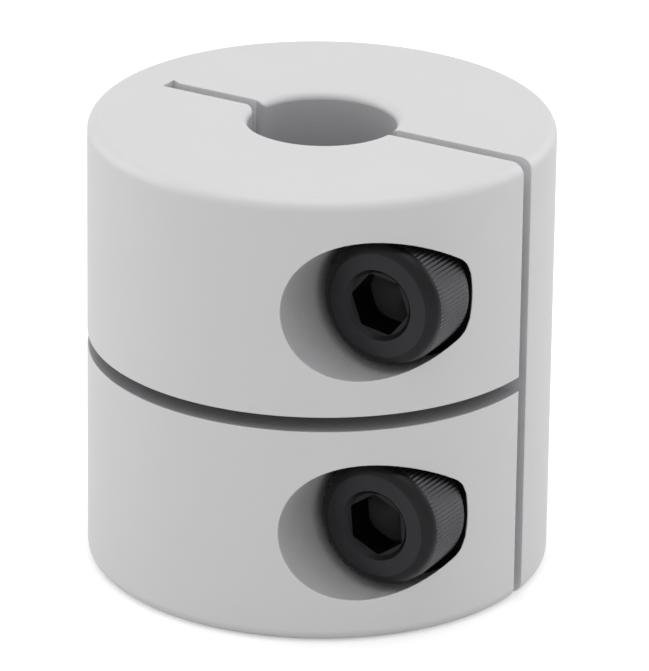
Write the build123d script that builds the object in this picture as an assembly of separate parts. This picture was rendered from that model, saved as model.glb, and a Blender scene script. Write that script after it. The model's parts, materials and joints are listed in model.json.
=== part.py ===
from build123d import *
import math
import os

# Rigid shaft coupling of the one-piece clamping kind, with two clamp screws.
# The body stands on its lower end. The shaft axis is +Z and the origin is the middle of the lower end face.
# The open slit faces +X, the uncut hinge side faces -X, and the screw heads face -Y.
# Every size is in millimetres.

# Body
outer_diameter = 25.0
body_length = 25.0
bore_diameter = 8.0
outer_edge_radius = 0.7
bore_edge_radius = 0.5
edge_steps = 5

# Slit that opens the jaws, relief slit opposite with its one-sided notch, and cross slot between the jaws
slit_width = 0.8
slit_mouth_bevel = 0.35
hinge_wall = 2.8
notch_length = 0.55
notch_depth = 0.3
cross_slot_width = 0.8
cut_edge_bevel = 0.1

# Clamp screws: socket head cap screws, M4 by 10
thread_diameter = 4.0
screw_length = 10.0
tip_bevel = 0.45
head_diameter = 7.0
head_height = 4.0
head_edge_bevel = 0.5
foot_bevel = 0.5
knurl_ridges = 48
knurl_depth = 0.1
socket_across_flats = 3.0
socket_depth = 2.0
socket_mouth_bevel = 0.22
drill_point_angle = 120.0

# How the screws sit in the body
jaw_under_head = 3.8
seat_corner_bevel = 0.3
head_clearance = 0.35
shank_clearance = 0.25
thread_clearance = 0.05
socket_turns = {"upper": 51.0, "lower": 35.0}

# Values worked out from the sizes above
outer_radius = outer_diameter / 2
bore_radius = bore_diameter / 2
half_slit = slit_width / 2
hinge_x = hinge_wall - outer_radius
middle_height = body_length / 2
screw_offset = (bore_radius + outer_radius) / 2
screw_heights = {"upper": body_length * 3 / 4, "lower": body_length / 4}
seat_y = -(half_slit + jaw_under_head)
past_body = outer_diameter
touching = 1e-4
standing = (Align.CENTER, Align.CENTER, Align.MIN)
hanging = (Align.CENTER, Align.CENTER, Align.MAX)


def quarter_round(centre_x, centre_z, radius, start):
    """Points in equal steps along a quarter circle of the section, from the start angle onwards."""
    angles = [math.radians(start + 90 * step / edge_steps) for step in range(edge_steps + 1)]
    return [(centre_x + radius * math.cos(angle), centre_z + radius * math.sin(angle)) for angle in angles]


def turned_blank():
    """Bored cylinder turned about the shaft axis, with its four rims rounded in short steps."""
    outer_x = outer_radius - outer_edge_radius
    inner_x = bore_radius + bore_edge_radius
    section = [
        *quarter_round(outer_x, body_length - outer_edge_radius, outer_edge_radius, 0),
        *quarter_round(inner_x, body_length - bore_edge_radius, bore_edge_radius, 90),
        *quarter_round(inner_x, bore_edge_radius, bore_edge_radius, 180),
        *quarter_round(outer_x, outer_edge_radius, outer_edge_radius, 270),
    ]
    return revolve(Plane.XZ * make_face(Polyline(*section, close=True)), Axis.Z)


def slit_cut():
    """Full-height slit through the bore, open at +X, that ends in a one-sided notch at the hinge."""
    outline = Polyline(
        (past_body, -half_slit),
        (hinge_x, -half_slit),
        (hinge_x, half_slit + notch_depth),
        (hinge_x + notch_length, half_slit),
        (past_body, half_slit),
        close=True,
    )
    return extrude(make_face(outline), body_length)


def slit_mouth_cut():
    """Full-height bevels where the two slits come out in the bore."""
    wide = half_slit + slit_mouth_bevel
    corner_x = math.sqrt(bore_radius**2 - half_slit**2) + slit_mouth_bevel
    bore_x = math.sqrt(bore_radius**2 - wide**2)
    quarter = [(corner_x, half_slit), (bore_x, wide)]
    outline = quarter + [(-x, y) for x, y in reversed(quarter)]
    outline = outline + [(-x, -y) for x, y in outline]
    return extrude(make_face(Polyline(*outline, close=True)), body_length)


def cross_slot_cut():
    """Slot at mid-height through the screw side of the body, as deep as the middle of the slit."""
    slot = Box(2 * past_body, past_body, cross_slot_width, align=(Align.CENTER, Align.MAX, Align.CENTER))
    return Pos(0, 0, middle_height) * slot


def rod(radius, y_from, y_to, height):
    """Cylinder on the axis of the screw at that height, from one Y to the other."""
    middle = Pos(screw_offset, (y_from + y_to) / 2, height)
    return middle * Rot(90, 0, 0) * Cylinder(radius, abs(y_to - y_from))


def screw_hole_cut(height):
    """Counterbore, clearance hole in the front jaw and tapped hole through the back half."""
    counterbore = rod(head_diameter / 2 + head_clearance, seat_y, -past_body, height)
    counterbore = chamfer(counterbore.edges().sort_by(Axis.Y)[-1], seat_corner_bevel)
    clearance_hole = rod(thread_diameter / 2 + shank_clearance, seat_y, 0, height)
    tapped_hole = rod(thread_diameter / 2 + thread_clearance, 0, past_body, height)
    return counterbore + clearance_hole + tapped_hole


def slit_rims(body):
    """Edges where the long walls of the slit come out at the ends and the outside."""
    def is_rim(edge):
        box = edge.bounding_box()
        on_wall = box.max.Y - box.min.Y < touching and abs(abs(box.center().Y) - half_slit) < touching
        upright = box.max.X - box.min.X < touching
        return on_wall and (not upright or box.max.X > screw_offset)

    return body.edges().filter_by(is_rim)


def cross_slot_rims(body):
    """Two long edges where the cross slot comes out at the outside."""
    def is_rim(edge):
        box = edge.bounding_box()
        level = box.max.Z - box.min.Z < touching
        on_wall = abs(abs(box.center().Z - middle_height) - cross_slot_width / 2) < touching
        return level and on_wall and edge.length > outer_diameter

    return body.edges().filter_by(is_rim)


def coupling_body():
    """Body in one piece: blank, slit, cross slot and screw holes, with the cut edges broken."""
    body = turned_blank() - slit_cut() - slit_mouth_cut()
    body = chamfer(slit_rims(body), cut_edge_bevel)
    body = body - cross_slot_cut()
    body = chamfer(cross_slot_rims(body), cut_edge_bevel)
    for height in screw_heights.values():
        body = body - screw_hole_cut(height)
    return body


def knurl_outline():
    """Outline of the ridges round the head, pointed at the head's full radius."""
    points = []
    for step in range(2 * knurl_ridges):
        angle = math.pi * step / knurl_ridges
        radius = head_diameter / 2 - (knurl_depth if step % 2 else 0)
        points.append((radius * math.cos(angle), radius * math.sin(angle)))
    return make_face(Polyline(*points, close=True))


def screw_head():
    """Head that stands on z = 0, bevelled at the top and at the foot, and knurled in between."""
    core = Cylinder(head_diameter / 2 - knurl_depth, head_height, align=standing)
    core = chamfer(core.edges().sort_by(Axis.Z)[-1], head_edge_bevel)
    core = chamfer(core.edges().sort_by(Axis.Z)[0], foot_bevel)
    knurl_height = head_height - head_edge_bevel - foot_bevel
    return core + Pos(0, 0, foot_bevel) * extrude(knurl_outline(), knurl_height)


def socket_cut(turn):
    """Hexagon socket with a drilled bottom and a bevelled mouth, turned by some degrees."""
    flat_radius = socket_across_flats / 2
    corner_radius = flat_radius / math.cos(math.pi / 6)
    floor = head_height - socket_depth
    hexagon = Pos(0, 0, floor) * extrude(Rot(0, 0, turn) * RegularPolygon(corner_radius, 6), socket_depth)
    point_depth = flat_radius / math.tan(math.radians(drill_point_angle / 2))
    point = Cone(0, flat_radius, point_depth, align=hanging)
    mouth = Cone(corner_radius, corner_radius + socket_mouth_bevel, socket_mouth_bevel, align=hanging)
    return hexagon + Pos(0, 0, floor) * point + Pos(0, 0, head_height) * mouth


def clamp_screw(height, turn):
    """Socket head cap screw, seated in its counterbore with the head towards -Y."""
    shank = Cylinder(thread_diameter / 2, screw_length, align=hanging)
    shank = chamfer(shank.edges().sort_by(Axis.Z)[0], tip_bevel)
    screw = screw_head() + shank - socket_cut(turn)
    return Pos(screw_offset, seat_y, height) * Rot(90, 0, 0) * screw


def main():
    os.makedirs("parts", exist_ok=True)
    export_step(coupling_body(), "parts/coupling_body.step")
    for end, height in screw_heights.items():
        export_step(clamp_screw(height, socket_turns[end]), f"parts/{end}_clamp_screw.step")


if __name__ == "__main__":
    main()
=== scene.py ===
import json
import math
from types import SimpleNamespace

import bmesh
import bpy
from mathutils import Matrix, Vector

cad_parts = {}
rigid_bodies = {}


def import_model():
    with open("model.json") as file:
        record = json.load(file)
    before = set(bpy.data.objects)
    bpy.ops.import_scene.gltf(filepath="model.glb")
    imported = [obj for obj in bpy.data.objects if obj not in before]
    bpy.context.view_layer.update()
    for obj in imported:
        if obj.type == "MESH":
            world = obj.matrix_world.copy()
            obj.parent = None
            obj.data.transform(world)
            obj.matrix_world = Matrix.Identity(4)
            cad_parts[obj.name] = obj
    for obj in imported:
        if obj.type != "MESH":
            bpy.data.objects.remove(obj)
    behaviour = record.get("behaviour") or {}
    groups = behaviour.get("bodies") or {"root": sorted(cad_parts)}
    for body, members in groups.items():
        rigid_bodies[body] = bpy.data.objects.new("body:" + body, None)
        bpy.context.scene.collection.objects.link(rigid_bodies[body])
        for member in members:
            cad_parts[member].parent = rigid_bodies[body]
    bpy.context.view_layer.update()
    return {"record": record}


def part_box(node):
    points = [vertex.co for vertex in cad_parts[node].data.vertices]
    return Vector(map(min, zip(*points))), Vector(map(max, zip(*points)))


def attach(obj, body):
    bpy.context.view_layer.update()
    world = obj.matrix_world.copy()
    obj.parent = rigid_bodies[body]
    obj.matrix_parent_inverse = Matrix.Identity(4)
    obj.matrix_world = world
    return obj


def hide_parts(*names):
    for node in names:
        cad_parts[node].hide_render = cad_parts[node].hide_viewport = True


# Rigid shaft coupling: a slit aluminium cylinder clamped by two socket head screws, on a white
# studio floor. Meshes are made in millimetres and brought to metres as they are put in place.

bl_info = {
    "name": "Rigid Shaft Coupling",
    "version": (1, 0, 0),
    "blender": (4, 5, 0),
    "location": "View3D > Sidebar > Coupling",
    "description": "Makes a clamping rigid shaft coupling, its two screws and a studio stage",
    "category": "Object",
}

for left_over in list(bpy.data.objects):
    bpy.data.objects.remove(left_over)
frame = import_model()

MM = 0.001
body_low, body_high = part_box("coupling_body")
upper_low, upper_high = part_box("upper_clamp_screw")
lower_low, lower_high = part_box("lower_clamp_screw")
upper_centre = (upper_low + upper_high) / 2
lower_centre = (lower_low + lower_high) / 2
coupling_middle = Vector((0, 0, (body_low.z + body_high.z) / 2))
bore_mount = next(mount for mount in frame["record"]["mounts"] if mount["name"] == "shaft_bore")

# Hair's breadths in millimetres that don't show: how far parts are clear of each other or sunk
# into each other, and how near points are when they are merged
CLEAR, SUNK, MERGED = 0.01, 0.03, 0.002
# Facets round what is turned
POINT_FACETS, HOLE_FACETS, SCREW_FACETS, DRUM_FACETS = 48, 64, 96, 192


# Sizes and colours that a user would change

def length(name, description, default, lowest=0):
    """A length in metres."""
    return bpy.props.FloatProperty(
        name=name, description=description, default=default, min=lowest,
        precision=5, unit="LENGTH", subtype="DISTANCE",
    )


def degrees(name, description, default):
    """An angle whose default is written in degrees."""
    return bpy.props.FloatProperty(
        name=name, description=description, default=math.radians(default), subtype="ANGLE",
    )


def watts(name, description, default):
    """The power of a lamp."""
    return bpy.props.FloatProperty(
        name=name, description=description, default=default, min=0, unit="POWER",
    )


def linear(hex_colour):
    """Linear red, green, blue and alpha of an sRGB colour written as six hex digits."""
    shares = [int(hex_colour[at:at + 2], 16) / 255 for at in (0, 2, 4)]
    return [
        share / 12.92 if share <= 0.04045 else ((share + 0.055) / 1.055) ** 2.4
        for share in shares
    ] + [1]


def colour(name, description, hex_colour):
    """A colour whose default is written as six hex digits."""
    return bpy.props.FloatVectorProperty(
        name=name, description=description, default=linear(hex_colour),
        size=4, min=0, max=1, subtype="COLOR",
    )


class CouplingBodySizes(bpy.types.PropertyGroup):
    outer_diameter: length("Outer diameter", "Across the body", body_high.y - body_low.y)
    body_length: length("Length", "Along the shaft", body_high.z - body_low.z)
    bore_diameter: length(
        "Bore", "Diameter of the shaft that fits", 2 * bore_mount["dims"]["r_mm"] * MM
    )
    outer_edge_radius: length("Outer edge", "Rounding of the two outer rims", 0.7 * MM)
    bore_edge_radius: length("Bore edge", "Rounding of the two bore rims", 0.5 * MM)
    slit_width: length("Slit", "Width of the full-height slit", 0.8 * MM)
    hinge_wall: length("Hinge wall", "Uncut wall opposite the open slit", 2.8 * MM)
    slit_mouth_radius: length("Slit mouth", "Rounding where the slits meet the bore", 0.4 * MM)
    notch_length: length("Notch length", "Notch at the end of the relief slit", 0.55 * MM)
    notch_depth: length("Notch depth", "How far the notch reaches to one side", 0.3 * MM)
    cross_slot_width: length("Cross slot", "Width of the slot between the jaws", 0.8 * MM)
    cut_edge_radius: length("Cut edge", "Softening of the slit's edges", 0.06 * MM)
    pocket_edge_radius: length("Pocket edge", "Softening of the counterbore rims", 0.07 * MM)
    seat_corner_radius: length("Seat corner", "Rounding at the foot of a counterbore", 0.8 * MM)
    head_clearance: length("Head clearance", "Gap round a screw head", 0.35 * MM)
    shank_clearance: length("Shank clearance", "Gap round a screw in its plain hole", 0.25 * MM)
    thread_clearance: length("Thread clearance", "Gap round a screw in its thread", 0.05 * MM)


class ClampScrewSizes(bpy.types.PropertyGroup):
    offset: length("Offset", "From the shaft axis to a screw axis", upper_centre.x)
    upper_height: length("Upper height", "Height of the upper screw axis", upper_centre.z)
    lower_height: length("Lower height", "Height of the lower screw axis", lower_centre.z)
    seat_depth: length("Seat depth", "From the slit's middle to the screw seats", 4.2 * MM)
    head_diameter: length("Head diameter", "Across the knurled head", upper_high.x - upper_low.x)
    head_height: length("Head height", "Height of the head", 4.0 * MM)
    head_edge_radius: length("Head edge", "Rounding of the head's top", 0.6 * MM)
    foot_bevel: length("Foot bevel", "Bevel at the foot of the head", 0.5 * MM)
    knurl_depth: length("Knurl depth", "Depth of the knurl ridges", 0.05 * MM)
    knurl_ridges: bpy.props.IntProperty(
        name="Knurl ridges", description="Ridges round a head", default=96, min=6,
    )
    socket_width: length("Socket", "Key size of the hexagon socket", 3.0 * MM)
    socket_depth: length("Socket depth", "Depth of the socket's flats", 2.0 * MM)
    socket_mouth_bevel: length("Socket mouth", "Bevel round the socket", 0.22 * MM)
    thread_diameter: length("Thread", "Outside diameter of the thread", 4.0 * MM)
    thread_pitch: length("Pitch", "Distance between threads", 0.7 * MM)
    thread_depth: length("Thread depth", "Height of the thread ridge", 0.43 * MM)
    shank_length: length("Shank length", "From under the head to the tip", 10.0 * MM)
    tip_bevel: length("Tip bevel", "Bevel at the tip", 0.45 * MM)
    upper_turn: degrees("Upper socket turn", "Turn of the upper socket", 51)
    lower_turn: degrees("Lower socket turn", "Turn of the lower socket", 35)


class CouplingFinish(bpy.types.PropertyGroup):
    body: colour("Body", "Blasted and clear anodised aluminium", "D6D6D7")
    pocket_walls: colour("Pocket walls", "Milled walls of the pockets", "DADADC")
    bore_wall: colour("Bore wall", "Turned wall of the bore", "C6C6C8")
    # The slit walls' colour is lighter than the skin: painted light inside the slits
    slit_walls: colour("Slit walls", "Wire-cut walls of the slits", "E2E2E4")
    # The slot walls' colour is darker than the skin: painted shade in the deep, narrow cross slot
    slot_walls: colour("Slot walls", "Sawn walls of the cross slot", "B6B6B8")
    # The seat colour is painted shade, the dark of the narrow gap round the screw heads
    seat_mark: colour("Seat mark", "Dark mark of the screw heads on their seats", "262628")
    screws: colour("Screws", "Black oxide on steel", "1E1E20")
    # The head faces' colour is a lighter copy of the screw steel: painted light on the flat faces
    faces: colour("Head faces", "Oxide rubbed a little greyer on the flat faces", "2B2B2D")
    # The knurl's colour is a lighter copy of the screw steel: painted light on the head's side
    knurl: colour("Knurl", "Oxide rubbed greyer on the crests of the knurl", "39393C")
    # The sockets' colour is a darker copy of the screw steel: painted shade in the hollow sockets
    sockets: colour("Sockets", "Thicker oxide inside the sockets", "161618")
    floor: colour("Floor", "Studio floor and backdrop", "F4F4F4")


class StudioSettings(bpy.types.PropertyGroup):
    lens: bpy.props.FloatProperty(
        name="Lens", description="Focal length", default=352.15, unit="CAMERA",
    )
    azimuth: degrees("Azimuth", "Camera's turn round the shaft", 30.16)
    elevation: degrees("Elevation", "Camera's height angle", 22.258)
    roll: degrees("Roll", "Camera's tilt", 0.72)
    distance: length("Distance", "From the camera to the coupling", 353.58 * MM)
    aside: length("Aside", "Camera's offset to the right", 0.267 * MM, lowest=-1)
    above: length("Above", "Camera's offset upwards", -0.054 * MM, lowest=-1)
    surround: bpy.props.FloatProperty(
        name="Surround", description="Light from all round", default=0.76, min=0,
    )
    overhead: watts("Overhead", "Power of the overhead lamp", 0.32)
    left: watts("Left", "Power of the left lamp", 0.25)
    behind: watts("Behind", "Power of the lamp behind", 0.3)


def in_millimetres(group):
    """The group's sizes as plain numbers, with every length in millimetres."""
    sizes = SimpleNamespace()
    for prop in group.bl_rna.properties:
        if prop.identifier not in ("rna_type", "name"):
            value = getattr(group, prop.identifier)
            is_length = getattr(prop, "unit", "NONE") == "LENGTH"
            setattr(sizes, prop.identifier, value / MM if is_length else value)
    return sizes


# Nodes and materials

def add_node(tree, kind, inputs=None, **settings):
    """Adds a node. The inputs are values, or outputs of other nodes that are linked in."""
    node = tree.nodes.new(kind)
    for name, value in settings.items():
        setattr(node, name, value)
    for socket, value in (inputs or {}).items():
        if isinstance(value, bpy.types.NodeSocket):
            tree.links.new(value, node.inputs[socket])
        else:
            node.inputs[socket].default_value = value
    return node


def new_material(name):
    """An empty material with its node tree."""
    material = bpy.data.materials.new(name)
    material.use_nodes = True
    material.node_tree.nodes.clear()
    return material, material.node_tree


def shades(tree, factor, base, low, high):
    """The base colour times a number from low to high that follows the factor."""
    ramp = add_node(tree, "ShaderNodeMapRange", {"Value": factor, "To Min": low, "To Max": high})
    level = ramp.outputs[0]
    tint = add_node(tree, "ShaderNodeCombineColor", {0: level, 1: level, 2: level})
    # A colour mix takes its colours at 6 and 7 and gives the mixed one at 2
    mix = add_node(tree, "ShaderNodeMix", {
        0: 1.0, 6: list(base), 7: tint.outputs[0],
    }, data_type="RGBA", blend_type="MULTIPLY")
    return mix.outputs[2]


def blasted_aluminium(base):
    """Bead-blasted and clear anodised aluminium.

    To the eye it is an even, satin grey-white without lines or mirror highlights.
    """
    material, tree = new_material("bead_blasted_anodised_aluminium")
    place = add_node(tree, "ShaderNodeTexCoord").outputs["Object"]
    # Craters of the glass beads are about 0.05 mm wide, drawn at 0.11 mm so that they show
    craters = add_node(tree, "ShaderNodeTexNoise", {
        "Vector": place, "Scale": 1 / (0.11 * MM), "Detail": 2.0,
    })
    # Faint clouds of 4 mm, where the blasting was denser
    clouds = add_node(tree, "ShaderNodeTexNoise", {
        "Vector": place, "Scale": 1 / (4 * MM), "Detail": 2.0,
    })
    rough = add_node(tree, "ShaderNodeMapRange", {
        "Value": craters.outputs[0], "To Min": 0.56, "To Max": 0.68,
    })
    bump = add_node(tree, "ShaderNodeBump", {
        "Height": craters.outputs[0], "Strength": 0.25, "Distance": 0.02 * MM,
    })
    shader = add_node(tree, "ShaderNodeBsdfPrincipled", {
        "Base Color": shades(tree, clouds.outputs[0], base, 0.985, 1.015),
        "Metallic": 0.4,
        "Roughness": rough.outputs[0],
        "Normal": bump.outputs[0],
    })
    add_node(tree, "ShaderNodeOutputMaterial", {"Surface": shader.outputs[0]})
    return material


def milled_aluminium(name, base, axis, pitch):
    """Aluminium as a cutter leaves it, with marks that many millimetres apart along the axis.

    To the eye they are rings or lines, and it is a little glossier than the blasted skin.
    """
    material, tree = new_material(name)
    place = add_node(tree, "ShaderNodeTexCoord").outputs["Object"]
    # A wave texture's band repeats every 0.314 units at scale 1, hence the factor
    marks = add_node(tree, "ShaderNodeTexWave", {
        "Vector": place,
        "Scale": 0.314 / (pitch * MM),
        "Distortion": 1.5,
        "Detail": 2.0,
        "Detail Scale": 0.6,
    }, bands_direction=axis)
    # Patches of 0.7 mm that the cutter left smoother or rougher
    patches = add_node(tree, "ShaderNodeTexNoise", {
        "Vector": place, "Scale": 1 / (0.7 * MM), "Detail": 3.0,
    })
    rough = add_node(tree, "ShaderNodeMapRange", {
        "Value": patches.outputs[0], "To Min": 0.38, "To Max": 0.55,
    })
    bump = add_node(tree, "ShaderNodeBump", {
        "Height": marks.outputs["Fac"], "Strength": 0.2, "Distance": 0.01 * MM,
    })
    shader = add_node(tree, "ShaderNodeBsdfPrincipled", {
        "Base Color": shades(tree, marks.outputs["Fac"], base, 0.97, 1.02),
        "Metallic": 0.4,
        "Roughness": rough.outputs[0],
        "Normal": bump.outputs[0],
    })
    add_node(tree, "ShaderNodeOutputMaterial", {"Surface": shader.outputs[0]})
    return material


def black_oxide_steel(name, base):
    """Alloy steel with black oxide.

    To the eye it is near-black with a dull oily sheen, and slightly greyer in patches.
    """
    material, tree = new_material(name)
    place = add_node(tree, "ShaderNodeTexCoord").outputs["Object"]
    # The grain of the oxide, drawn at 0.12 mm so that it shows
    grain = add_node(tree, "ShaderNodeTexNoise", {
        "Vector": place, "Scale": 1 / (0.12 * MM), "Detail": 3.0,
    })
    # Patches of 1.5 mm where the oxide is thinner or oilier
    patches = add_node(tree, "ShaderNodeTexNoise", {
        "Vector": place, "Scale": 1 / (1.5 * MM), "Detail": 2.0,
    })
    rough = add_node(tree, "ShaderNodeMapRange", {
        "Value": patches.outputs[0], "To Min": 0.28, "To Max": 0.42,
    })
    bump = add_node(tree, "ShaderNodeBump", {
        "Height": grain.outputs[0], "Strength": 0.25, "Distance": 0.015 * MM,
    })
    shader = add_node(tree, "ShaderNodeBsdfPrincipled", {
        "Base Color": shades(tree, patches.outputs[0], base, 0.8, 1.2),
        "Metallic": 0.8,
        "Roughness": rough.outputs[0],
        "Normal": bump.outputs[0],
    })
    add_node(tree, "ShaderNodeOutputMaterial", {"Surface": shader.outputs[0]})
    return material


# Meshes

def mesh_from(name, points, faces, materials=(), face_materials=None):
    """A mesh from points and faces, with its faces turned outwards."""
    mesh = bpy.data.meshes.new(name)
    mesh.from_pydata(points, [], faces)
    for material in materials:
        mesh.materials.append(material)
    if face_materials:
        mesh.polygons.foreach_set("material_index", face_materials)
    shape = bmesh.new()
    shape.from_mesh(mesh)
    bmesh.ops.recalc_face_normals(shape, faces=shape.faces)
    shape.to_mesh(mesh)
    shape.free()
    return mesh


def turned_ring(name, section, angles, materials, face_materials):
    """A closed section of (distance, height) points turned through the angles round Z."""
    points = [(x * math.cos(a), x * math.sin(a), z) for a in angles for x, z in section]
    count = len(section)
    faces, indices = [], []
    for turn in range(len(angles)):
        here, there = turn * count, (turn + 1) % len(angles) * count
        for step in range(count):
            after = (step + 1) % count
            faces.append((here + step, there + step, there + after, here + after))
            indices.append(face_materials[step])
    return mesh_from(name, points, faces, materials, indices)


def turned_rod(name, profile, angles, materials, face_materials=None):
    """A solid rod: (distance, height) points turned round Z, closed by a flat face at each end."""
    points = [(x * math.cos(a), x * math.sin(a), z) for x, z in profile for a in angles]
    count = len(angles)
    faces = [tuple(range(count)), tuple(range(len(points) - count, len(points)))]
    indices = [face_materials[0], face_materials[-1]] if face_materials else [0, 0]
    for row in range(len(profile) - 1):
        here, there = row * count, (row + 1) * count
        for step in range(count):
            after = (step + 1) % count
            faces.append((here + step, here + after, there + after, there + step))
            indices.append(face_materials[row] if face_materials else 0)
    return mesh_from(name, points, faces, materials, indices)


def prism(name, outline, low, high, materials):
    """An upright prism over an outline of (x, y) points."""
    count = len(outline)
    points = [(x, y, z) for z in (low, high) for x, y in outline]
    faces = [tuple(range(count)), tuple(range(count, 2 * count))]
    faces += [(at, (at + 1) % count, (at + 1) % count + count, at + count) for at in range(count)]
    return mesh_from(name, points, faces, materials)


def even_angles(count):
    """Angles of the corners of that many even facets, one of which faces +X."""
    return [2 * math.pi * (step + 0.5) / count for step in range(count)]


def quarter_round(centre_x, centre_z, radius, start, steps=6):
    """Points along a quarter circle of a section, from the start angle in degrees onwards."""
    angles = [math.radians(start + 90 * step / steps) for step in range(steps + 1)]
    return [(centre_x + radius * math.cos(a), centre_z + radius * math.sin(a)) for a in angles]


def evaluated(mesh, add_modifiers):
    """A copy of the mesh with the modifiers that the given function adds applied."""
    passing = bpy.data.objects.new("passing", mesh)
    bpy.context.scene.collection.objects.link(passing)
    add_modifiers(passing)
    bpy.context.view_layer.update()
    evaluated_passing = passing.evaluated_get(bpy.context.evaluated_depsgraph_get())
    result = bpy.data.meshes.new_from_object(evaluated_passing)
    bpy.data.objects.remove(passing)
    return result


def cut(mesh, cutter, operation="DIFFERENCE"):
    """The mesh less the cutter, or with INTERSECT what is inside it.

    The cut walls take the cutter's material.
    """
    tool = bpy.data.objects.new("cutter", cutter)
    bpy.context.scene.collection.objects.link(tool)

    def add_modifiers(passing):
        boolean = passing.modifiers.new("cut", "BOOLEAN")
        boolean.operation = operation
        boolean.solver = "EXACT"
        boolean.material_mode = "TRANSFER"
        boolean.object = tool

    result = evaluated(mesh, add_modifiers)
    bpy.data.objects.remove(tool)
    return result


def soften(mesh, width, is_rim, rim_material):
    """Rounds the sharp outward edges that the test picks."""
    flat, sharp = math.radians(0.3), math.radians(33)
    shape = bmesh.new()
    shape.from_mesh(mesh)
    bmesh.ops.remove_doubles(shape, verts=shape.verts, dist=MERGED)
    # A rim that crosses a line in a flat face at a slant bevels badly, so flat faces are made one
    bmesh.ops.dissolve_limit(
        shape, angle_limit=flat, verts=shape.verts, edges=shape.edges, delimit={"MATERIAL"},
    )
    rims = [
        edge for edge in shape.edges
        if len(edge.link_faces) == 2 and edge.is_convex
        and edge.calc_face_angle() > sharp and is_rim(edge)
    ]
    bmesh.ops.bevel(
        shape, geom=rims, offset=width, offset_type="OFFSET", segments=2, profile=0.5,
        affect="EDGES", clamp_overlap=False, loop_slide=False, material=rim_material,
    )
    shape.to_mesh(mesh)
    shape.free()
    return mesh


def joined(name, meshes):
    """One mesh of several, with all their materials."""
    shape = bmesh.new()
    materials = []
    for mesh in meshes:
        start = len(shape.faces)
        shape.from_mesh(mesh)
        shape.faces.ensure_lookup_table()
        slots = []
        for material in mesh.materials:
            if material not in materials:
                materials.append(material)
            slots.append(materials.index(material))
        for face in shape.faces[start:]:
            face.material_index = slots[face.material_index] if slots else 0
    result = bpy.data.meshes.new(name)
    shape.to_mesh(result)
    shape.free()
    for material in materials:
        result.materials.append(material)
    return result


def smooth_outside(mesh, radius):
    """Gives the turned outside its exact normals, so that no facet or cut shows in its sheen."""
    upright = 0.01
    normals = [corner.vector.copy() for corner in mesh.corner_normals]
    for face in mesh.polygons:
        points = [mesh.vertices[at].co for at in face.vertices]
        across = [Vector((point.x, point.y, 0)) for point in points]
        on_outside = all(abs(point.length - radius) < CLEAR * MM for point in across)
        if abs(face.normal.z) < upright and on_outside:
            for loop, point in zip(face.loop_indices, across):
                normals[loop] = point.normalized()
    mesh.normals_split_custom_set(normals)


def finished_piece(name, mesh, node, outside_radius=0):
    """Shades the mesh, smooth but for its real corners, and lets it stand for the CAD node."""
    mesh.transform(Matrix.Scale(MM, 4))
    mesh.shade_smooth()
    real_corner = math.radians(32)
    mesh.set_sharp_from_angle(angle=real_corner)

    def add_modifiers(passing):
        weighted = passing.modifiers.new("flat faces stay flat", "WEIGHTED_NORMAL")
        weighted.keep_sharp = True

    mesh = evaluated(mesh, add_modifiers)
    if outside_radius:
        smooth_outside(mesh, outside_radius)
    mesh.name = name
    piece = bpy.data.objects.new(name, mesh)
    bpy.context.scene.collection.objects.link(piece)
    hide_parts(node)
    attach(piece, "root")
    return piece


# Geometry nodes for what repeats

def new_tree(name, inputs):
    """A geometry tree with named inputs (kind, default), and the outputs of its input node."""
    tree = bpy.data.node_groups.new(name, "GeometryNodeTree")
    tree.interface.new_socket("Geometry", in_out="OUTPUT", socket_type="NodeSocketGeometry")
    tree.interface.new_socket("Geometry", in_out="INPUT", socket_type="NodeSocketGeometry")
    for socket, (kind, default) in inputs.items():
        made = tree.interface.new_socket(socket, in_out="INPUT", socket_type=kind)
        if default is not None:
            made.default_value = default
    return tree, add_node(tree, "NodeGroupInput").outputs


def end_tree(tree, geometry, material):
    """Ends the tree in real geometry with its material."""
    real = add_node(tree, "GeometryNodeRealizeInstances", {"Geometry": geometry})
    dressed = add_node(tree, "GeometryNodeSetMaterial", {
        "Geometry": real.outputs[0], "Material": material,
    })
    add_node(tree, "NodeGroupOutput", {"Geometry": dressed.outputs[0]})
    return tree


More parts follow.
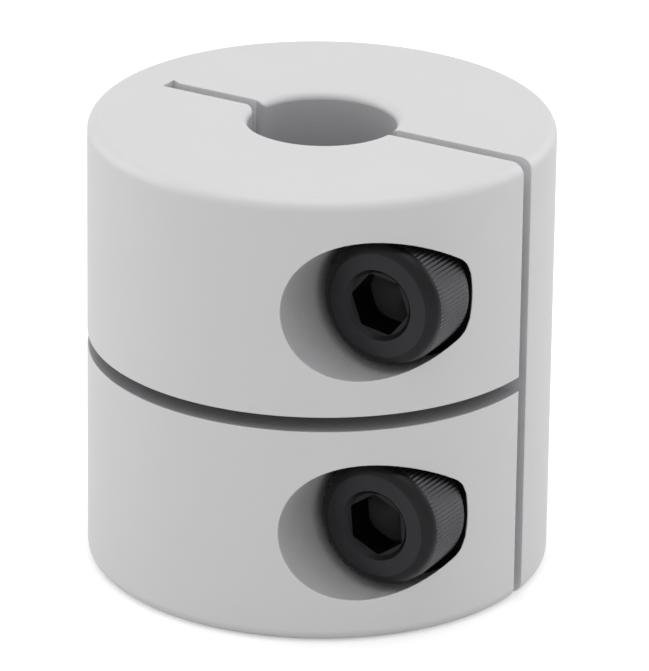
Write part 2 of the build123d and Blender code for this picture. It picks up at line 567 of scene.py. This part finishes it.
def knurl_ridges():
    """Straight knurl: a ring's outer side swells into rounded ridges, which run out at both ends."""
    tree, given = new_tree("knurl_ridges", {
        "Ridges": ("NodeSocketInt", 96),
        "Radius": ("NodeSocketFloat", 3.45),
        "Depth": ("NodeSocketFloat", 0.05),
        "Middle": ("NodeSocketFloat", 2.0),
        "Half Height": ("NodeSocketFloat", 1.5),
        "Material": ("NodeSocketMaterial", None),
    })
    place = add_node(tree, "GeometryNodeInputPosition").outputs[0]
    part = add_node(tree, "ShaderNodeSeparateXYZ", {0: place}).outputs
    angle = add_node(tree, "ShaderNodeMath", {0: part[1], 1: part[0]}, operation="ARCTAN2")
    phase = add_node(tree, "ShaderNodeMath", {
        0: angle.outputs[0], 1: given["Ridges"],
    }, operation="MULTIPLY")
    wave = add_node(tree, "ShaderNodeMath", {0: phase.outputs[0]}, operation="COSINE")
    # The ridges have their full height but for the outermost tenth of the ring at each end
    up = add_node(tree, "ShaderNodeMath", {0: part[2], 1: given["Middle"]}, operation="SUBTRACT")
    from_middle = add_node(tree, "ShaderNodeMath", {0: up.outputs[0]}, operation="ABSOLUTE")
    share = add_node(tree, "ShaderNodeMath", {
        0: from_middle.outputs[0], 1: given["Half Height"],
    }, operation="DIVIDE")
    depth = add_node(tree, "ShaderNodeMapRange", {
        "Value": share.outputs[0],
        "From Min": 0.8,
        "From Max": 1.0,
        "To Min": given["Depth"],
        "To Max": 0.0,
    })
    rise = add_node(tree, "ShaderNodeMapRange", {
        "Value": wave.outputs[0],
        "From Min": -1.0,
        "From Max": 1.0,
        "To Min": 0.0,
        "To Max": depth.outputs[0],
    })
    level = add_node(tree, "ShaderNodeVectorMath", {
        0: place, 1: (1.0, 1.0, 0.0),
    }, operation="MULTIPLY")
    away = add_node(tree, "ShaderNodeVectorMath", {0: level.outputs[0]}, operation="LENGTH")
    inside = add_node(tree, "ShaderNodeMath", {
        0: given["Radius"], 1: CLEAR,
    }, operation="SUBTRACT")
    outside = add_node(tree, "ShaderNodeMath", {
        0: away.outputs["Value"], 1: inside.outputs[0],
    }, operation="GREATER_THAN")
    outward = add_node(tree, "ShaderNodeVectorMath", {0: level.outputs[0]}, operation="NORMALIZE")
    push = add_node(tree, "ShaderNodeVectorMath", {
        0: outward.outputs[0], "Scale": rise.outputs[0],
    }, operation="SCALE")
    ridged = add_node(tree, "GeometryNodeSetPosition", {
        "Geometry": given["Geometry"],
        "Selection": outside.outputs[0],
        "Offset": push.outputs[0],
    })
    return end_tree(tree, ridged.outputs[0], given["Material"])


def thread_ridge():
    """Right-hand thread: a ridge that winds up Z and reaches from the radius outwards.

    Its flanks are slanted. It is widest inside on a screw, and widest outside in a tapped hole.
    """
    tree, given = new_tree("thread_ridge", {
        "Radius": ("NodeSocketFloat", 1.57),
        "Depth": ("NodeSocketFloat", 0.43),
        "Inner Width": ("NodeSocketFloat", 0.61),
        "Outer Width": ("NodeSocketFloat", 0.09),
        "Pitch": ("NodeSocketFloat", 0.7),
        "Length": ("NodeSocketFloat", 9.0),
        "Material": ("NodeSocketMaterial", None),
    })
    turns = add_node(tree, "ShaderNodeMath", {
        0: given["Length"], 1: given["Pitch"],
    }, operation="DIVIDE")
    helix = add_node(tree, "GeometryNodeCurveSpiral", {
        "Resolution": 48,
        "Rotations": turns.outputs[0],
        "Start Radius": given["Radius"],
        "End Radius": given["Radius"],
        "Height": given["Length"],
        "Reverse": True,
    })
    upright = add_node(tree, "GeometryNodeSetCurveNormal", {
        "Curve": helix.outputs[0],
    }, mode="Z_UP")
    outline = add_node(tree, "GeometryNodeCurvePrimitiveQuadrilateral", {
        "Bottom Width": given["Inner Width"],
        "Top Width": given["Outer Width"],
        "Height": given["Depth"],
        "Offset": 0.0,
    }, mode="TRAPEZOID")
    # The outline's X follows the helix outwards, so the outline is turned to stand on its foot
    # along X, and moved out by half its height
    shift = add_node(tree, "ShaderNodeMath", {0: given["Depth"], 1: 0.5}, operation="MULTIPLY")
    outward = add_node(tree, "ShaderNodeCombineXYZ", {0: shift.outputs[0]})
    standing = add_node(tree, "GeometryNodeTransform", {
        "Geometry": outline.outputs[0],
        "Translation": outward.outputs[0],
        "Rotation": (0, 0, -math.pi / 2),
    })
    ridge = add_node(tree, "GeometryNodeCurveToMesh", {
        "Curve": upright.outputs[0],
        "Profile Curve": standing.outputs[0],
        "Fill Caps": True,
    })
    return end_tree(tree, ridge.outputs[0], given["Material"])


def grown(make_tree, values, mesh=None):
    """Plain mesh that a geometry tree makes of the mesh, or of nothing, from values by input name.

    The tree has the name of the function that makes it, and is made only the first time.
    """
    tree = bpy.data.node_groups.get(make_tree.__name__) or make_tree()
    if mesh is None:
        mesh = bpy.data.meshes.new(tree.name)

    def add_modifiers(passing):
        modifier = passing.modifiers.new(tree.name, "NODES")
        modifier.node_group = tree
        for item in tree.interface.items_tree:
            if item.in_out == "INPUT" and item.name in values:
                modifier[item.identifier] = values[item.name]

    return evaluated(mesh, add_modifiers)


# What the body and the screws share

def pocket_radius(body, screw):
    """Radius of the counterbore that takes the head."""
    return screw.head_diameter / 2 + body.head_clearance


def tapped_radius(body, screw):
    """Radius of the tapped hole, to the foot of its thread."""
    return screw.thread_diameter / 2 + body.thread_clearance


def head_radius(screw):
    """Radius of the head between the ridges of its knurl."""
    return screw.head_diameter / 2 - screw.knurl_depth


def root_radius(screw):
    """Radius of the shank between the turns of its thread."""
    return screw.thread_diameter / 2 - screw.thread_depth


def thread_start(screw):
    """Where the screw's thread starts along its axis, half a pitch past the tip."""
    return -screw.shank_length - screw.thread_pitch / 2


def on_screw_axis(screw, height, depth=0):
    """Lays what stands along Z on a screw's axis, its zero that far from the slit's middle."""
    place = Matrix.Translation((screw.offset, -depth, height))
    return place @ Matrix.Rotation(math.pi / 2, 4, "X")


# The coupling's body

def facets_round(upright, facet=0.033):
    """Angles from 0 to half a turn, a facet apart, with each upright edge in mid-facet."""
    angles = [upright[0] - facet / 2]
    for at in upright:
        gap = at - facet / 2 - angles[-1]
        steps = max(1, round(gap / facet)) if gap > 0 else 0
        angles += [angles[-1] + gap * (step + 1) / steps for step in range(steps)]
        angles.append(at + facet / 2)
    return angles


def ring_angles(body, screw):
    """Where the body's facets meet, which is never on or close to an upright edge of a cut."""
    outer_radius = body.outer_diameter / 2
    slit = [
        math.asin(body.slit_width / body.outer_diameter),
        math.asin(body.slit_width / body.bore_diameter),
    ]
    hinge = [math.pi - slit[1], math.pi - slit[0]]
    pocket_end = math.asin(screw.seat_depth / outer_radius)
    pocket_side = math.acos((screw.offset - pocket_radius(body, screw)) / outer_radius)
    tapped_sides = [
        math.acos((screw.offset + side * tapped_radius(body, screw)) / outer_radius)
        for side in (1, -1)
    ]
    front = facets_round([*slit, pocket_end, pocket_side, *hinge])
    back = facets_round([*slit, *tapped_sides, *hinge])
    return back + [-a for a in reversed(front)]


def turned_blank(body, screw, blasted, bored):
    """The bored cylinder before it is cut, with its four rims rounded."""
    outer_edge, bore_edge = body.outer_edge_radius, body.bore_edge_radius
    outer_x = body.outer_diameter / 2 - outer_edge
    bore_x = body.bore_diameter / 2 + bore_edge
    top = quarter_round(outer_x, body.body_length - outer_edge, outer_edge, 0)
    top += quarter_round(bore_x, body.body_length - bore_edge, bore_edge, 90)
    foot = quarter_round(bore_x, bore_edge, bore_edge, 180)
    foot += quarter_round(outer_x, outer_edge, outer_edge, 270)
    section = top + foot
    # The bore's wall runs from the last point of the top to the first of the foot
    rows = [0] * len(section)
    rows[len(top) - 1] = 1
    return turned_ring("blank", section, ring_angles(body, screw), [blasted, bored], rows)


def slit_outline(body):
    """Outline of the slit, open at +X, with the one-sided notch at its hinge end."""
    half_slit = body.slit_width / 2
    hinge_x = body.hinge_wall - body.outer_diameter / 2
    past = body.outer_diameter
    return [
        (past, -half_slit),
        (hinge_x, -half_slit),
        (hinge_x, half_slit + body.notch_depth),
        (hinge_x + body.notch_length, half_slit),
        (past, half_slit),
    ]


def slit_mouth_outline(body, steps=4):
    """Outline round both mouths of the slits in the bore, with their corners rounded outwards."""
    bore_radius, half_slit = body.bore_diameter / 2, body.slit_width / 2
    round_off = body.slit_mouth_radius
    corner = math.sqrt((bore_radius + round_off) ** 2 - (half_slit + round_off) ** 2)
    lean = math.atan2(half_slit + round_off, corner)
    quarter = []
    for step in range(steps + 1):
        angle = math.radians(-90) + (math.radians(-90) + lean) * step / steps
        x = corner + round_off * math.cos(angle)
        quarter.append((x, half_slit + round_off + round_off * math.sin(angle)))
    outline = quarter + [(-x, y) for x, y in reversed(quarter)]
    return outline + [(-x, -y) for x, y in outline]


def screw_holes(body, screw, milled, seat_shade):
    """Cutters for each screw's counterbore, plain hole and tapped hole."""
    past, corner = body.outer_diameter, body.seat_corner_radius
    tapped_hole, head_hole = tapped_radius(body, screw), pocket_radius(body, screw)
    shank_hole = screw.thread_diameter / 2 + body.shank_clearance
    holes = [(tapped_hole, -past), (tapped_hole, 0), (shank_hole, 0)]
    seat = [
        (shank_hole, screw.seat_depth),
        *quarter_round(head_hole - corner, screw.seat_depth + corner, corner, 270, steps=4),
    ]
    profile = [*holes, *seat, (head_hole, past)]
    # The seat and its rounded corner take the painted shade of the gap round the head, and the other
    # walls don't
    rows = [0] * len(holes) + [1] * (len(seat) - 1) + [0]
    rods = []
    for height in (screw.upper_height, screw.lower_height):
        rod = turned_rod("screw_hole", profile, even_angles(HOLE_FACETS), [milled, seat_shade], rows)
        rod.transform(on_screw_axis(screw, height))
        rods.append(rod)
    return joined("screw_holes", rods)


def tapped_threads(body, screw, flanks, skin):
    """Threads in the tapped holes, from the screws' tips to the outside.

    They wind half a pitch off the screws' own.
    """
    pitch, outer_radius = screw.thread_pitch, body.outer_diameter / 2
    # The crests are cut back a little, and the ridge takes these shares of the pitch
    blunted, crest_share, foot_share = 0.08, 0.25, 0.95
    crest_radius = root_radius(screw) + blunted
    turns = math.ceil((outer_radius + screw.seat_depth - screw.shank_length) / pitch)
    along = Matrix.Translation((0, 0, thread_start(screw) - (turns + 0.5) * pitch))
    ridges = []
    for height in (screw.upper_height, screw.lower_height):
        ridge = grown(thread_ridge, {
            "Radius": crest_radius,
            "Depth": tapped_radius(body, screw) + SUNK - crest_radius,
            "Inner Width": crest_share * pitch,
            "Outer Width": foot_share * pitch,
            "Pitch": pitch,
            "Length": (turns + 2) * pitch,
            "Material": flanks,
        })
        ridge.transform(on_screw_axis(screw, height, screw.seat_depth) @ along)
        ridges.append(ridge)
    # They end a hair under the outside, within the softened rims of the holes
    profile = [(outer_radius - SUNK, -1), (outer_radius - SUNK, body.body_length + 1)]
    drum = turned_rod("drum", profile, even_angles(DRUM_FACETS), [skin])
    return cut(joined("tapped_threads", ridges), drum, "INTERSECT")


def body_mesh(body, screw, finish):
    """The body in millimetres: turned, slit, slotted and drilled, its edges softened."""
    blasted = blasted_aluminium(finish.body)
    bored = milled_aluminium("bored_aluminium", finish.bore_wall, "Z", 0.16)
    # The slit walls are painted lighter, as painted light inside the slits
    lit_wire_cut = milled_aluminium("wire_cut_aluminium", finish.slit_walls, "X", 0.15)
    # The cross slot's walls are painted darker, as painted shade in the slot
    shaded_sawn = milled_aluminium("sawn_aluminium", finish.slot_walls, "X", 0.35)
    milled = milled_aluminium("milled_aluminium", finish.pocket_walls, "Y", 0.3)
    # The seats are painted dark, as painted shade of the narrow gap round the oxide-black heads
    seat_shade = milled_aluminium("marked_aluminium", finish.seat_mark, "X", 0.3)

    top, past = body.body_length, body.outer_diameter
    mesh = turned_blank(body, screw, blasted, bored)
    mesh = cut(mesh, prism("slit", slit_outline(body), -1, top + 1, [lit_wire_cut]))
    mesh = cut(mesh, prism("slit_mouths", slit_mouth_outline(body), -2, top + 2, [bored]))
    slot = [(-past, -past), (past, -past), (past, 0), (-past, 0)]
    half_slot = body.cross_slot_width / 2
    mesh = cut(mesh, prism("cross_slot", slot, top / 2 - half_slot, top / 2 + half_slot, [shaded_sawn]))
    mesh = cut(mesh, screw_holes(body, screw, milled, seat_shade))
    hole_walls = [mesh.materials.find(milled.name), mesh.materials.find(seat_shade.name)]
    skin = mesh.materials.find(blasted.name)

    def is_hole_rim(edge):
        return sum(face.material_index in hole_walls for face in edge.link_faces) == 1

    def is_slit_rim(edge):
        on_skin = any(face.material_index == skin for face in edge.link_faces)
        return on_skin and not is_hole_rim(edge)

    mesh = soften(mesh, body.cut_edge_radius, is_slit_rim, skin)
    mesh = soften(mesh, body.pocket_edge_radius, is_hole_rim, skin)
    return joined("body", [mesh, tapped_threads(body, screw, milled, blasted)])


class COUPLING_OT_make_body(bpy.types.Operator):
    """Make the slit and bored aluminium body"""
    bl_idname = "coupling.make_body"
    bl_label = "Make Body"

    def execute(self, context):
        scene = context.scene
        body = in_millimetres(scene.coupling_body_sizes)
        screw = in_millimetres(scene.clamp_screw_sizes)
        mesh = body_mesh(body, screw, scene.coupling_finish)
        radius = scene.coupling_body_sizes.outer_diameter / 2
        finished_piece("blasted_body", mesh, "coupling_body", radius)
        return {"FINISHED"}


# The clamp screws, each made along Z with its head up and the seat under the head at zero

def turned_core(screw, steel, lit_face_steel):
    """Head and shank turned in one, a hair inside the knurl and down to the thread's root."""
    core, root = head_radius(screw) - CLEAR, root_radius(screw)
    edge = screw.head_edge_radius
    # The tip's edge is just broken, and a short neck widens into the head
    tip_edge, neck_height, neck_width = 0.02, 0.3, 0.2
    # A ring of points in the head's flat face, just outside the mouth of the socket
    round_mouth = screw.socket_width * 0.72
    profile = [
        (root - tip_edge, -screw.shank_length),
        (root, -screw.shank_length + tip_edge),
        (root, -neck_height),
        (root + neck_width, 0),
        (core - screw.foot_bevel, 0),
        (core, screw.foot_bevel),
        *quarter_round(core - edge, screw.head_height - edge, edge, 0),
        (round_mouth, screw.head_height),
    ]
    # The flat top face takes the lighter steel, painted light
    rows = [0] * (len(profile) - 2) + [1]
    return turned_rod("screw", profile, even_angles(SCREW_FACETS), [steel, lit_face_steel], rows)


def with_socket(mesh, screw, turn, steel, shaded_socket_steel):
    """The head with its hexagon socket, which has a drilled bottom and a bevelled mouth."""
    flat = screw.socket_width / 2
    corner = flat / math.cos(math.pi / 6)
    top, floor = screw.head_height, screw.head_height - screw.socket_depth
    angles = [turn + math.pi * at / 3 for at in range(6)]
    hexagon = [(corner * math.cos(a), corner * math.sin(a)) for a in angles]
    # The socket's walls and drilled bottom take the darker steel, painted shade in the hollow
    socket = prism("socket", hexagon, floor, top + 1, [shaded_socket_steel])
    # The punch that presses the socket has slightly rounded corners
    punch_corner = 0.12
    shape = bmesh.new()
    shape.from_mesh(socket)
    upright = [edge for edge in shape.edges if abs(edge.verts[0].co.z - edge.verts[1].co.z) > 1]
    bmesh.ops.bevel(
        shape, geom=upright, offset=punch_corner, segments=3, profile=0.5, affect="EDGES",
    )
    shape.to_mesh(socket)
    shape.free()
    mesh = cut(mesh, socket)
    # A drill point of 120 degrees is 0.577 of its radius deep. It has a tiny flat at its tip.
    point_depth, point_flat, above_floor = flat * 0.577, 0.02, 0.4
    drill = [(point_flat, floor - point_depth), (flat, floor), (flat, floor + above_floor)]
    mesh = cut(mesh, turned_rod("point", drill, even_angles(POINT_FACETS), [shaded_socket_steel]))
    bevel = screw.socket_mouth_bevel
    mouth = [(corner, top - bevel), (corner + 2 * bevel, top + bevel)]
    return cut(mesh, turned_rod("mouth", mouth, even_angles(SCREW_FACETS), [steel]))


def knurled_ring(screw, lit_knurl_steel):
    """The knurled side of the head, as a ring that is sunk into the core."""
    radius = head_radius(screw)
    low, high = screw.foot_bevel, screw.head_height - screw.head_edge_radius
    rows, wall, points_on_ridge = 10, 0.3, 8
    section = [(radius, low + (high - low) * row / rows) for row in range(rows + 1)]
    section += [(radius - wall, high), (radius - wall, low)]
    angles = even_angles(points_on_ridge * screw.knurl_ridges)
    # The knurl takes a lighter copy of the steel, painted light on the head's side
    ring = turned_ring("knurl", section, angles, [lit_knurl_steel], [0] * len(section))
    return grown(knurl_ridges, {
        "Ridges": screw.knurl_ridges,
        "Radius": radius,
        "Depth": screw.knurl_depth,
        "Middle": (low + high) / 2,
        "Half Height": (high - low) / 2,
        "Material": lit_knurl_steel,
    }, ring)


def screw_thread(screw, steel):
    """The thread, which starts past the tip and is turned off to the tip's bevel."""
    pitch = screw.thread_pitch
    # The ridge takes these shares of the pitch, and ends short of the head
    foot_share, crest_share, short_of_head = 0.93, 0.125, 0.75
    thread = grown(thread_ridge, {
        "Radius": root_radius(screw) - SUNK,
        "Depth": screw.thread_depth + SUNK,
        "Inner Width": foot_share * pitch,
        "Outer Width": crest_share * pitch,
        "Pitch": pitch,
        "Length": screw.shank_length + pitch / 2 - short_of_head,
        "Material": steel,
    })
    thread.transform(Matrix.Translation((0, 0, thread_start(screw))))
    # The bar that it is turned from has the tip's bevel, and is wider than the thread by this
    spare = 0.05
    tip_radius = screw.thread_diameter / 2 - screw.tip_bevel
    wide = screw.tip_bevel + spare
    bar = [
        (tip_radius + CLEAR, -screw.shank_length + CLEAR),
        (tip_radius + wide, -screw.shank_length + wide),
        (tip_radius + wide, 0),
    ]
    return cut(thread, turned_rod("bar", bar, even_angles(SCREW_FACETS), [steel]), "INTERSECT")


class COUPLING_OT_make_screws(bpy.types.Operator):
    """Make the two clamp screws with their knurled heads and threads"""
    bl_idname = "coupling.make_screws"
    bl_label = "Make Clamp Screws"

    def execute(self, context):
        scene = context.scene
        finish = scene.coupling_finish
        screw = in_millimetres(scene.clamp_screw_sizes)
        steel = black_oxide_steel("black_oxide_steel", finish.screws)
        # The flat face and the knurl take lighter copies of the steel, painted light where they
        # catch the lamps, the socket a darker one, painted shade in its hollow, and the rounded
        # shoulder keeps the plain steel
        lit_face_steel = black_oxide_steel("face_black_oxide_steel", finish.faces)
        lit_knurl_steel = black_oxide_steel("knurl_black_oxide_steel", finish.knurl)
        shaded_socket_steel = black_oxide_steel("socket_black_oxide_steel", finish.sockets)
        ends = (
            ("upper", screw.upper_height, screw.upper_turn),
            ("lower", screw.lower_height, screw.lower_turn),
        )
        for end, height, turn in ends:
            core = turned_core(screw, steel, lit_face_steel)
            core = with_socket(core, screw, turn, steel, shaded_socket_steel)
            knurl, thread = knurled_ring(screw, lit_knurl_steel), screw_thread(screw, steel)
            mesh = joined("clamp_screw", [core, knurl, thread])
            mesh.transform(on_screw_axis(screw, height, screw.seat_depth))
            finished_piece(end + "_socket_screw", mesh, end + "_clamp_screw")
        return {"FINISHED"}


# The stage

def seen_as_background(tree):
    """One for camera, mirror and glass rays, and none for the rays that light the object."""
    path = add_node(tree, "ShaderNodeLightPath").outputs
    seen = add_node(tree, "ShaderNodeMath", {
        0: path["Is Camera Ray"], 1: path["Is Glossy Ray"],
    }, operation="MAXIMUM")
    seen = add_node(tree, "ShaderNodeMath", {
        0: seen.outputs[0], 1: path["Is Transmission Ray"],
    }, operation="MAXIMUM")
    return seen.outputs[0]


def white_paper(colour_seen):
    """White paper with a little glow where it is seen as background, which a shadow still darkens.

    The light that it sends back to the coupling is that of grey paper.
    """
    material, tree = new_material("white_paper")
    grey, glow_strength = linear("A8A8A8"), 0.3
    seen = seen_as_background(tree)
    paper = add_node(tree, "ShaderNodeMix", {
        0: seen, 6: grey, 7: list(colour_seen),
    }, data_type="RGBA")
    diffuse = add_node(tree, "ShaderNodeBsdfDiffuse", {"Color": paper.outputs[2]})
    glow = add_node(tree, "ShaderNodeMath", {0: seen, 1: glow_strength}, operation="MULTIPLY")
    glow = add_node(tree, "ShaderNodeEmission", {"Strength": glow.outputs[0]})
    both = add_node(tree, "ShaderNodeAddShader", {0: diffuse.outputs[0], 1: glow.outputs[0]})
    add_node(tree, "ShaderNodeOutputMaterial", {"Surface": both.outputs[0]})
    return material


def studio_world(surround):
    """A white surround that lights the coupling with the given strength."""
    world = bpy.data.worlds.new("studio")
    world.use_nodes = True
    tree = world.node_tree
    tree.nodes.clear()
    white = (1, 1, 1, 1)
    around = add_node(tree, "ShaderNodeBackground", {"Color": white, "Strength": surround})
    behind = add_node(tree, "ShaderNodeBackground", {"Color": white, "Strength": 1.0})
    mix = add_node(tree, "ShaderNodeMixShader", {
        0: seen_as_background(tree), 1: around.outputs[0], 2: behind.outputs[0],
    })
    add_node(tree, "ShaderNodeOutputWorld", {"Surface": mix.outputs[0]})
    return world


def lamp(name, power, size, place):
    """A square soft lamp that faces the coupling, with its size and place in metres."""
    light = bpy.data.lights.new(name, "AREA")
    light.energy = power
    light.size = size
    holder = bpy.data.objects.new(name, light)
    holder.location = place
    holder.rotation_mode = "QUATERNION"
    holder.rotation_quaternion = (holder.location - coupling_middle).to_track_quat("Z", "Y")
    bpy.context.scene.collection.objects.link(holder)


def studio_camera(studio):
    """The camera, turned round the coupling's middle, tilted, and moved aside and up."""
    azimuth, elevation, roll = studio.azimuth, studio.elevation, studio.roll
    back = Vector((
        math.sin(azimuth) * math.cos(elevation),
        -math.cos(azimuth) * math.cos(elevation),
        math.sin(elevation),
    ))
    right = Vector((math.cos(azimuth), math.sin(azimuth), 0))
    up = back.cross(right)
    turned = Matrix((
        right * math.cos(roll) + up * math.sin(roll),
        up * math.cos(roll) - right * math.sin(roll),
        back,
    ))
    camera = bpy.data.objects.new("camera", bpy.data.cameras.new("camera"))
    camera.data.sensor_width = 36
    camera.data.lens = studio.lens
    camera.data.clip_start, camera.data.clip_end = 0.01, 20
    camera.rotation_mode = "QUATERNION"
    camera.rotation_quaternion = turned.transposed().to_quaternion()
    moved = right * studio.aside + up * studio.above
    camera.location = coupling_middle + moved + back * studio.distance
    return camera


class COUPLING_OT_make_stage(bpy.types.Operator):
    """Make the white floor, the soft lamps and the camera"""
    bl_idname = "coupling.make_stage"
    bl_label = "Make Stage"

    def execute(self, context):
        scene = context.scene
        studio = scene.studio_settings
        half = 3.0
        corners = [(-half, -half, 0), (half, -half, 0), (half, half, 0), (-half, half, 0)]
        paper = white_paper(scene.coupling_finish.floor)
        floor = bpy.data.objects.new("floor", mesh_from("floor", corners, [(0, 1, 2, 3)], [paper]))
        scene.collection.objects.link(floor)

        scene.world = studio_world(studio.surround)
        lamp("overhead_lamp", studio.overhead, 0.35, (0.02, -0.04, 0.40))
        lamp("left_lamp", studio.left, 0.25, (-0.36, -0.10, 0.14))
        lamp("behind_lamp", studio.behind, 0.25, (0.22, 0.33, 0.17))

        scene.camera = studio_camera(studio)
        scene.collection.objects.link(scene.camera)
        scene.view_settings.view_transform = "Standard"
        return {"FINISHED"}


class COUPLING_PT_panel(bpy.types.Panel):
    """Sizes, colours and buttons of the coupling"""
    bl_label = "Rigid Shaft Coupling"
    bl_space_type = "VIEW_3D"
    bl_region_type = "UI"
    bl_category = "Coupling"

    def draw(self, context):
        layout = self.layout
        for title, group, operator in SECTIONS:
            box = layout.box()
            box.label(text=title)
            values = getattr(context.scene, group)
            for prop in values.bl_rna.properties:
                if prop.identifier not in ("rna_type", "name"):
                    box.prop(values, prop.identifier)
            if operator:
                box.operator(operator)


SECTIONS = (
    ("Finish", "coupling_finish", None),
    ("Body", "coupling_body_sizes", "coupling.make_body"),
    ("Clamp screws", "clamp_screw_sizes", "coupling.make_screws"),
    ("Stage", "studio_settings", "coupling.make_stage"),
)
GROUPS = {
    "coupling_body_sizes": CouplingBodySizes,
    "clamp_screw_sizes": ClampScrewSizes,
    "coupling_finish": CouplingFinish,
    "studio_settings": StudioSettings,
}
OPERATORS = (COUPLING_OT_make_body, COUPLING_OT_make_screws, COUPLING_OT_make_stage)


def register():
    for name, group in GROUPS.items():
        bpy.utils.register_class(group)
        setattr(bpy.types.Scene, name, bpy.props.PointerProperty(type=group))
    for operator in OPERATORS:
        bpy.utils.register_class(operator)
    bpy.utils.register_class(COUPLING_PT_panel)


def unregister():
    bpy.utils.unregister_class(COUPLING_PT_panel)
    for operator in reversed(OPERATORS):
        bpy.utils.unregister_class(operator)
    for name, group in reversed(GROUPS.items()):
        delattr(bpy.types.Scene, name)
        bpy.utils.unregister_class(group)


def main():
    register()
    bpy.ops.coupling.make_body()
    bpy.ops.coupling.make_screws()
    bpy.ops.coupling.make_stage()


if __name__ == "__main__":
    main()
